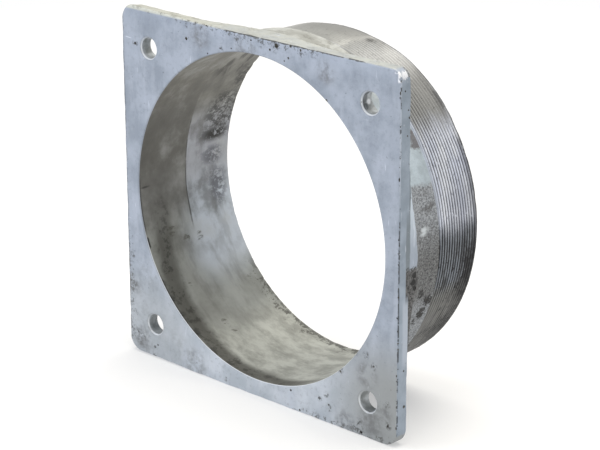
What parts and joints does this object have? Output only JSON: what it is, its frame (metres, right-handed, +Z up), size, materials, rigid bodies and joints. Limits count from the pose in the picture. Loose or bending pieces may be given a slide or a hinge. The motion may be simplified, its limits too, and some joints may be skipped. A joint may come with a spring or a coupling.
{
  "type": "square duct flange",
  "caption": "Square cast flange plate with corner bolt holes round a wide duct bore, and a short round spigot behind it that carries a fine external thread.",
  "frame": {"origin": "centre of the duct bore on the plane of the mating face", "axes": "+Y runs along the duct from the mating face towards the threaded end, +Z is up with the plate upright, +X is to the right as the mating face is looked at"},
  "size_m": [0.2, 0.071, 0.2],
  "materials": {
    "galvanised_cast_iron": "weathered zinc coat, satin"
  },
  "bodies": {
    "root": {"duct_flange": "galvanised_cast_iron"}
  },
  "joints": []
}
